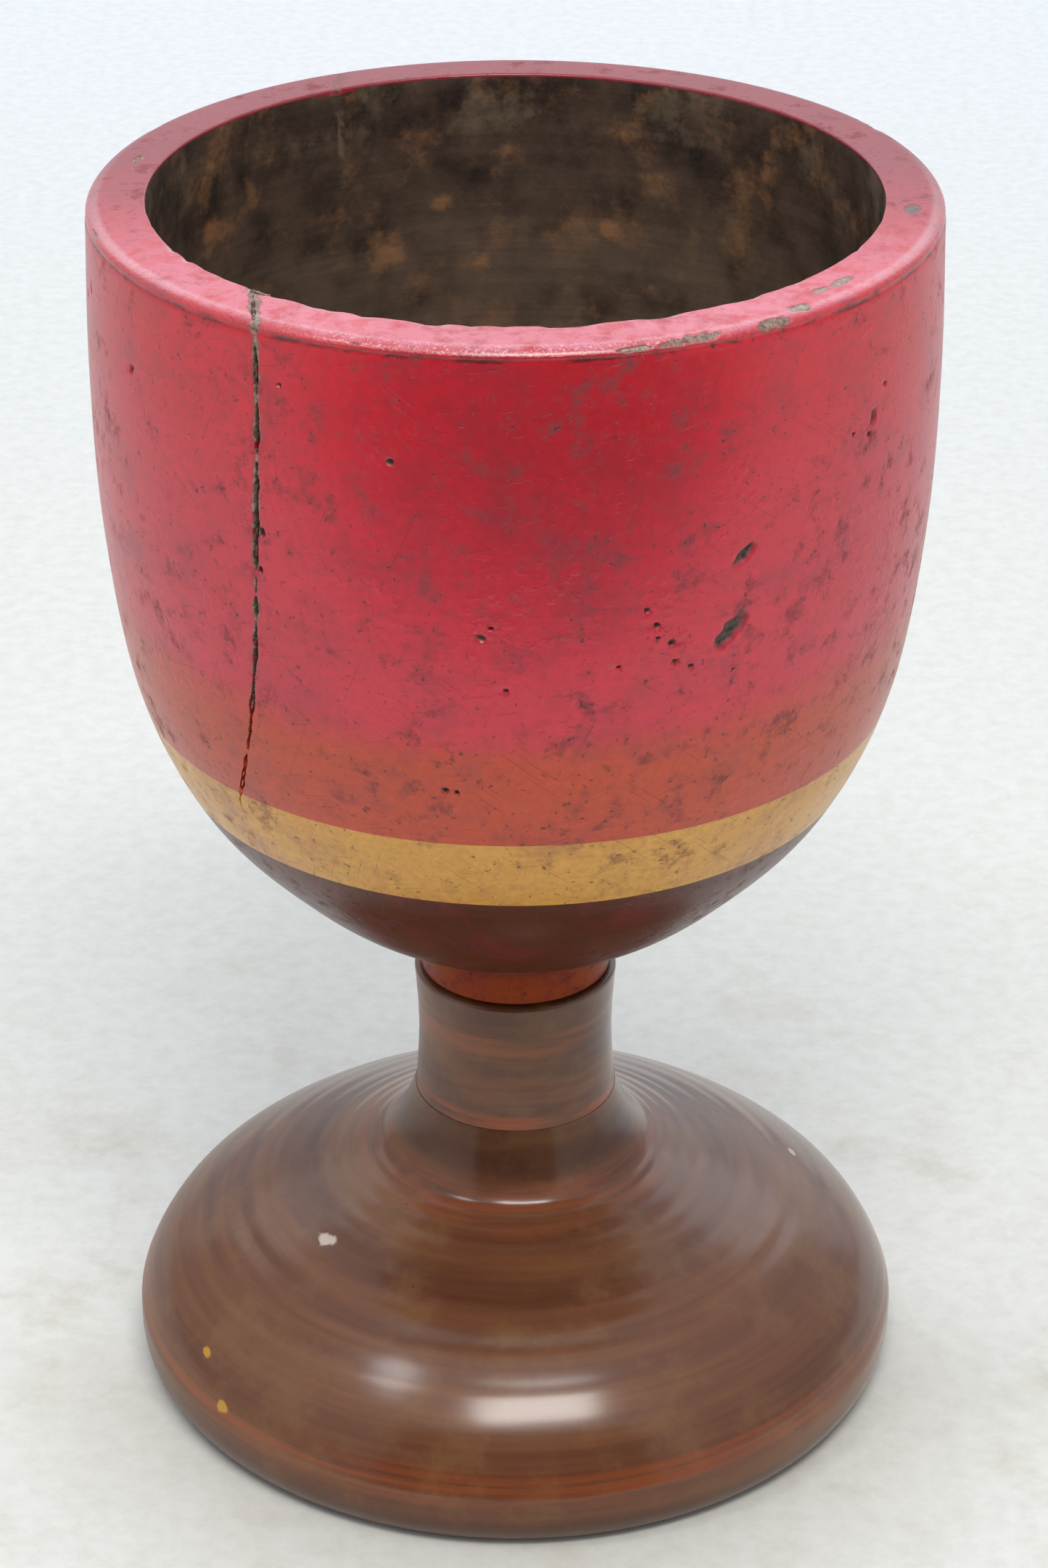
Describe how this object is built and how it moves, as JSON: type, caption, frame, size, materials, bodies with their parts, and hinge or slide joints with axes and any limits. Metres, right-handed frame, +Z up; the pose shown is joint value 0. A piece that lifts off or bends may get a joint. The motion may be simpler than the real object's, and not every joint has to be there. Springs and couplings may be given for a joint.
{
  "type": "communion chalice",
  "caption": "Turned wooden communion chalice with a deep lacquered cup on a short stem and a domed round foot.",
  "frame": {"origin": "middle of the standing ring under the foot, on the surface that the chalice stands on", "axes": "+Z up along the turning axis, through foot, stem and cup; -Y is the side that the front crack and the larger pits are on"},
  "size_m": [0.1008, 0.1008, 0.1593],
  "materials": {
    "red_lac_wood": "crimson to orange lac with a gold band, semi-gloss, bare dark wood inside",
    "brown_lac_wood": "red-brown lac, semi-gloss, streaked round the turning",
    "bare_wood": "bare split wood"
  },
  "bodies": {
    "root": {"bowl": "red_lac_wood", "stem": "brown_lac_wood", "foot": "brown_lac_wood", "foot_wedge": "bare_wood", "bowl_wedge": "bare_wood"}
  },
  "joints": []
}
